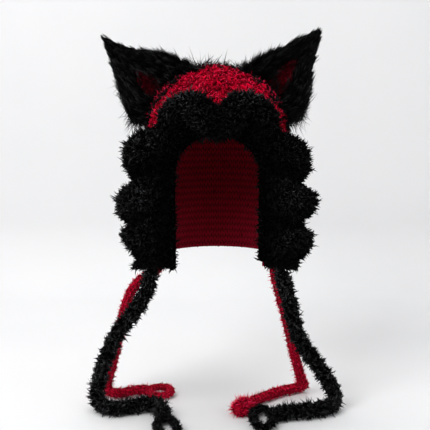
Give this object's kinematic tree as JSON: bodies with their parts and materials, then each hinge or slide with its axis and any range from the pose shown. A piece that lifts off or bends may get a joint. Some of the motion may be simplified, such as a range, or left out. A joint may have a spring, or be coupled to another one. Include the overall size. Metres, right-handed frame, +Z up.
{
  "type": "animal hood scarf",
  "caption": "Knitted hood with cupped fur ears, a gathered plush frill round the open face and long soft ties that hang from its front corners.",
  "frame": {"origin": "inside top of the crown, where the hood sits on a head", "axes": "+Z up, +X to the viewer's right, the face opening towards -Y"},
  "size_m": [0.4133, 0.3288, 0.6131],
  "materials": {
    "red_yarn": "bobbly knitted fluffy yarn, matte",
    "red_mohair": "knitted cord with a fine halo of loose fibres, matte",
    "dark_red_lining": "short dark pile, matte",
    "black_plush": "curly chenille pile, matte",
    "black_fur": "long combed faux fur with a soft gloss"
  },
  "bodies": {
    "root": {"crown": "red_yarn", "ruffle": "black_plush", "ear_left": "black_fur", "ear_right": "black_fur", "ear_lining_left": "dark_red_lining", "ear_lining_right": "dark_red_lining", "tie_black_left": "black_plush", "tie_black_left_loop": "black_plush", "tie_black_right": "black_plush", "tie_black_right_loop": "black_plush", "tie_red_left": "red_mohair", "tie_red_left_loop": "red_mohair", "tie_red_right": "red_mohair", "tie_red_right_end": "red_mohair"}
  },
  "joints": []
}
